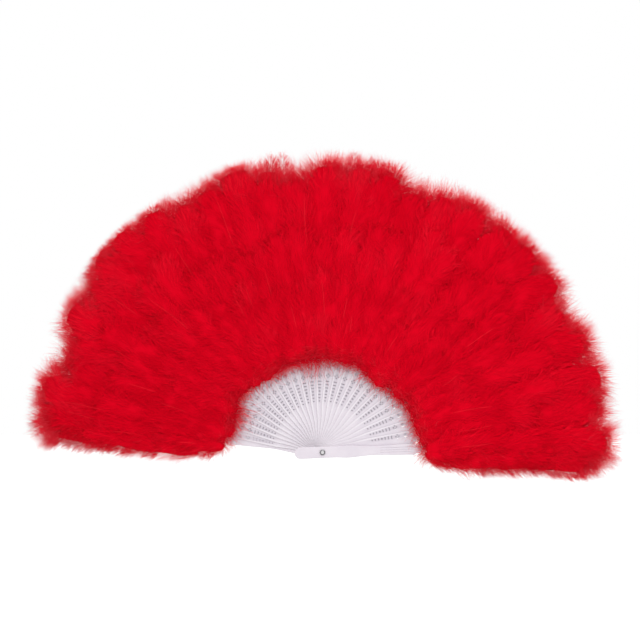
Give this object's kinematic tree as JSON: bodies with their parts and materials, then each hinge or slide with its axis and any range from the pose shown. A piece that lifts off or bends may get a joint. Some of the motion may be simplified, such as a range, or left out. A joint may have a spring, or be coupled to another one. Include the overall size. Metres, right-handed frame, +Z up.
{
  "type": "feather hand fan",
  "caption": "Folding hand fan: pierced plastic sticks and two guards turn on one rivet and carry tufts of fluffy plumes.",
  "frame": {"origin": "on the rivet's axis, at the front face of its head, where the hand that holds the fan pinches it", "axes": "+Z up along the middle of the open fan, +X right towards the front guard, +Y away from the viewer along the rivet"},
  "size_m": [0.4902, 0.0511, 0.2679],
  "materials": {
    "ivory_plastic": "moulded white plastic with a faint lavender tint, satin",
    "red_marabou": "dyed marabou down, soft and matt",
    "rivet_steel": "plated steel, polished"
  },
  "bodies": {
    "front_guard": {"front_guard": "ivory_plastic", "plumes_front_guard": "red_marabou", "rivet": "rivet_steel", "rivet_washer": "rivet_steel"},
    "stick_01": {"stick_01": "ivory_plastic", "plumes_stick_01": "red_marabou"},
    "stick_02": {"stick_02": "ivory_plastic", "plumes_stick_02": "red_marabou"},
    "stick_03": {"stick_03": "ivory_plastic", "plumes_stick_03": "red_marabou"},
    "stick_04": {"stick_04": "ivory_plastic", "plumes_stick_04": "red_marabou"},
    "stick_05": {"stick_05": "ivory_plastic", "plumes_stick_05": "red_marabou"},
    "stick_06": {"stick_06": "ivory_plastic", "plumes_stick_06": "red_marabou"},
    "stick_07": {"stick_07": "ivory_plastic", "plumes_stick_07": "red_marabou"},
    "stick_08": {"stick_08": "ivory_plastic", "plumes_stick_08": "red_marabou"},
    "stick_09": {"stick_09": "ivory_plastic", "plumes_stick_09": "red_marabou"},
    "stick_10": {"stick_10": "ivory_plastic", "plumes_stick_10": "red_marabou"},
    "stick_11": {"stick_11": "ivory_plastic", "plumes_stick_11": "red_marabou"},
    "stick_12": {"stick_12": "ivory_plastic", "plumes_stick_12": "red_marabou"},
    "stick_13": {"stick_13": "ivory_plastic", "plumes_stick_13": "red_marabou"},
    "stick_14": {"stick_14": "ivory_plastic", "plumes_stick_14": "red_marabou"},
    "stick_15": {"stick_15": "ivory_plastic", "plumes_stick_15": "red_marabou"},
    "stick_16": {"stick_16": "ivory_plastic", "plumes_stick_16": "red_marabou"},
    "stick_17": {"stick_17": "ivory_plastic", "plumes_stick_17": "red_marabou"},
    "stick_18": {"stick_18": "ivory_plastic", "plumes_stick_18": "red_marabou"},
    "stick_19": {"stick_19": "ivory_plastic", "plumes_stick_19": "red_marabou"},
    "stick_20": {"stick_20": "ivory_plastic", "plumes_stick_20": "red_marabou"},
    "stick_21": {"stick_21": "ivory_plastic", "plumes_stick_21": "red_marabou"},
    "stick_22": {"stick_22": "ivory_plastic", "plumes_stick_22": "red_marabou"},
    "stick_23": {"stick_23": "ivory_plastic", "plumes_stick_23": "red_marabou"},
    "stick_24": {"stick_24": "ivory_plastic", "plumes_stick_24": "red_marabou"},
    "stick_25": {"stick_25": "ivory_plastic", "plumes_stick_25": "red_marabou"},
    "stick_26": {"stick_26": "ivory_plastic", "plumes_stick_26": "red_marabou"},
    "back_guard": {"back_guard": "ivory_plastic", "plumes_back_guard": "red_marabou"}
  },
  "joints": [
    {"name": "fan_fold", "type": "hinge", "parent": "front_guard", "child": "back_guard", "pos_m": [0, 0, 0], "axis": [0, 1, 0], "range_deg": [0, 170.5], "deforming": ["plumes_back_guard", "plumes_front_guard"]},
    {"name": "stick_01_fold", "type": "hinge", "parent": "front_guard", "child": "stick_01", "pos_m": [0, 0, 0], "axis": [0, 1, 0], "range_deg": [0, 7.04], "deforming": ["plumes_stick_01"]},
    {"name": "stick_02_fold", "type": "hinge", "parent": "front_guard", "child": "stick_02", "pos_m": [0, 0, 0], "axis": [0, 1, 0], "range_deg": [0, 14.03], "deforming": ["plumes_stick_02"]},
    {"name": "stick_03_fold", "type": "hinge", "parent": "front_guard", "child": "stick_03", "pos_m": [0, 0, 0], "axis": [0, 1, 0], "range_deg": [0, 20.97], "deforming": ["plumes_stick_03"]},
    {"name": "stick_04_fold", "type": "hinge", "parent": "front_guard", "child": "stick_04", "pos_m": [0, 0, 0], "axis": [0, 1, 0], "range_deg": [0, 27.84], "deforming": ["plumes_stick_04"]},
    {"name": "stick_05_fold", "type": "hinge", "parent": "front_guard", "child": "stick_05", "pos_m": [0, 0, 0], "axis": [0, 1, 0], "range_deg": [0, 34.66], "deforming": ["plumes_stick_05"]},
    {"name": "stick_06_fold", "type": "hinge", "parent": "front_guard", "child": "stick_06", "pos_m": [0, 0, 0], "axis": [0, 1, 0], "range_deg": [0, 41.43], "deforming": ["plumes_stick_06"]},
    {"name": "stick_07_fold", "type": "hinge", "parent": "front_guard", "child": "stick_07", "pos_m": [0, 0, 0], "axis": [0, 1, 0], "range_deg": [0, 48.13], "deforming": ["plumes_stick_07"]},
    {"name": "stick_08_fold", "type": "hinge", "parent": "front_guard", "child": "stick_08", "pos_m": [0, 0, 0], "axis": [0, 1, 0], "range_deg": [0, 54.78], "deforming": ["plumes_stick_08"]},
    {"name": "stick_09_fold", "type": "hinge", "parent": "front_guard", "child": "stick_09", "pos_m": [0, 0, 0], "axis": [0, 1, 0], "range_deg": [0, 61.38], "deforming": ["plumes_stick_09"]},
    {"name": "stick_10_fold", "type": "hinge", "parent": "front_guard", "child": "stick_10", "pos_m": [0, 0, 0], "axis": [0, 1, 0], "range_deg": [0, 67.92], "deforming": ["plumes_stick_10"]},
    {"name": "stick_11_fold", "type": "hinge", "parent": "front_guard", "child": "stick_11", "pos_m": [0, 0, 0], "axis": [0, 1, 0], "range_deg": [0, 74.4], "deforming": ["plumes_stick_11"]},
    {"name": "stick_12_fold", "type": "hinge", "parent": "front_guard", "child": "stick_12", "pos_m": [0, 0, 0], "axis": [0, 1, 0], "range_deg": [0, 80.83], "deforming": ["plumes_stick_12"]},
    {"name": "stick_13_fold", "type": "hinge", "parent": "front_guard", "child": "stick_13", "pos_m": [0, 0, 0], "axis": [0, 1, 0], "range_deg": [0, 87.2], "deforming": ["plumes_stick_13"]},
    {"name": "stick_14_fold", "type": "hinge", "parent": "front_guard", "child": "stick_14", "pos_m": [0, 0, 0], "axis": [0, 1, 0], "range_deg": [0, 93.52], "deforming": ["plumes_stick_14"]},
    {"name": "stick_15_fold", "type": "hinge", "parent": "front_guard", "child": "stick_15", "pos_m": [0, 0, 0], "axis": [0, 1, 0], "range_deg": [0, 99.78], "deforming": ["plumes_stick_15"]},
    {"name": "stick_16_fold", "type": "hinge", "parent": "front_guard", "child": "stick_16", "pos_m": [0, 0, 0], "axis": [0, 1, 0], "range_deg": [0, 105.98], "deforming": ["plumes_stick_16"]},
    {"name": "stick_17_fold", "type": "hinge", "parent": "front_guard", "child": "stick_17", "pos_m": [0, 0, 0], "axis": [0, 1, 0], "range_deg": [0, 112.12], "deforming": ["plumes_stick_17"]},
    {"name": "stick_18_fold", "type": "hinge", "parent": "front_guard", "child": "stick_18", "pos_m": [0, 0, 0], "axis": [0, 1, 0], "range_deg": [0, 118.21], "deforming": ["plumes_stick_18"]},
    {"name": "stick_19_fold", "type": "hinge", "parent": "front_guard", "child": "stick_19", "pos_m": [0, 0, 0], "axis": [0, 1, 0], "range_deg": [0, 124.25], "deforming": ["plumes_stick_19"]},
    {"name": "stick_20_fold", "type": "hinge", "parent": "front_guard", "child": "stick_20", "pos_m": [0, 0, 0], "axis": [0, 1, 0], "range_deg": [0, 130.23], "deforming": ["plumes_stick_20"]},
    {"name": "stick_21_fold", "type": "hinge", "parent": "front_guard", "child": "stick_21", "pos_m": [0, 0, 0], "axis": [0, 1, 0], "range_deg": [0, 136.15], "deforming": ["plumes_stick_21"]},
    {"name": "stick_22_fold", "type": "hinge", "parent": "front_guard", "child": "stick_22", "pos_m": [0, 0, 0], "axis": [0, 1, 0], "range_deg": [0, 142.01], "deforming": ["plumes_stick_22"]},
    {"name": "stick_23_fold", "type": "hinge", "parent": "front_guard", "child": "stick_23", "pos_m": [0, 0, 0], "axis": [0, 1, 0], "range_deg": [0, 147.82], "deforming": ["plumes_stick_23"]},
    {"name": "stick_24_fold", "type": "hinge", "parent": "front_guard", "child": "stick_24", "pos_m": [0, 0, 0], "axis": [0, 1, 0], "range_deg": [0, 153.58], "deforming": ["plumes_stick_24"]},
    {"name": "stick_25_fold", "type": "hinge", "parent": "front_guard", "child": "stick_25", "pos_m": [0, 0, 0], "axis": [0, 1, 0], "range_deg": [0, 159.27], "deforming": ["plumes_stick_25"]},
    {"name": "stick_26_fold", "type": "hinge", "parent": "front_guard", "child": "stick_26", "pos_m": [0, 0, 0], "axis": [0, 1, 0], "range_deg": [0, 164.91], "deforming": ["plumes_stick_26"]}
  ],
  "couplings": [
    {"joint": "stick_01_fold", "follows": "fan_fold", "ratio": 0.041316},
    {"joint": "stick_02_fold", "follows": "fan_fold", "ratio": 0.082304},
    {"joint": "stick_03_fold", "follows": "fan_fold", "ratio": 0.12296},
    {"joint": "stick_04_fold", "follows": "fan_fold", "ratio": 0.16329},
    {"joint": "stick_05_fold", "follows": "fan_fold", "ratio": 0.20329},
    {"joint": "stick_06_fold", "follows": "fan_fold", "ratio": 0.24296},
    {"joint": "stick_07_fold", "follows": "fan_fold", "ratio": 0.2823},
    {"joint": "stick_08_fold", "follows": "fan_fold", "ratio": 0.32132},
    {"joint": "stick_09_fold", "follows": "fan_fold", "ratio": 0.36},
    {"joint": "stick_10_fold", "follows": "fan_fold", "ratio": 0.39835},
    {"joint": "stick_11_fold", "follows": "fan_fold", "ratio": 0.43638},
    {"joint": "stick_12_fold", "follows": "fan_fold", "ratio": 0.47407},
    {"joint": "stick_13_fold", "follows": "fan_fold", "ratio": 0.51144},
    {"joint": "stick_14_fold", "follows": "fan_fold", "ratio": 0.54848},
    {"joint": "stick_15_fold", "follows": "fan_fold", "ratio": 0.58518},
    {"joint": "stick_16_fold", "follows": "fan_fold", "ratio": 0.62156},
    {"joint": "stick_17_fold", "follows": "fan_fold", "ratio": 0.65761},
    {"joint": "stick_18_fold", "follows": "fan_fold", "ratio": 0.69333},
    {"joint": "stick_19_fold", "follows": "fan_fold", "ratio": 0.72872},
    {"joint": "stick_20_fold", "follows": "fan_fold", "ratio": 0.76379},
    {"joint": "stick_21_fold", "follows": "fan_fold", "ratio": 0.79852},
    {"joint": "stick_22_fold", "follows": "fan_fold", "ratio": 0.83292},
    {"joint": "stick_23_fold", "follows": "fan_fold", "ratio": 0.86699},
    {"joint": "stick_24_fold", "follows": "fan_fold", "ratio": 0.90074},
    {"joint": "stick_25_fold", "follows": "fan_fold", "ratio": 0.93416},
    {"joint": "stick_26_fold", "follows": "fan_fold", "ratio": 0.96724}
  ]
}
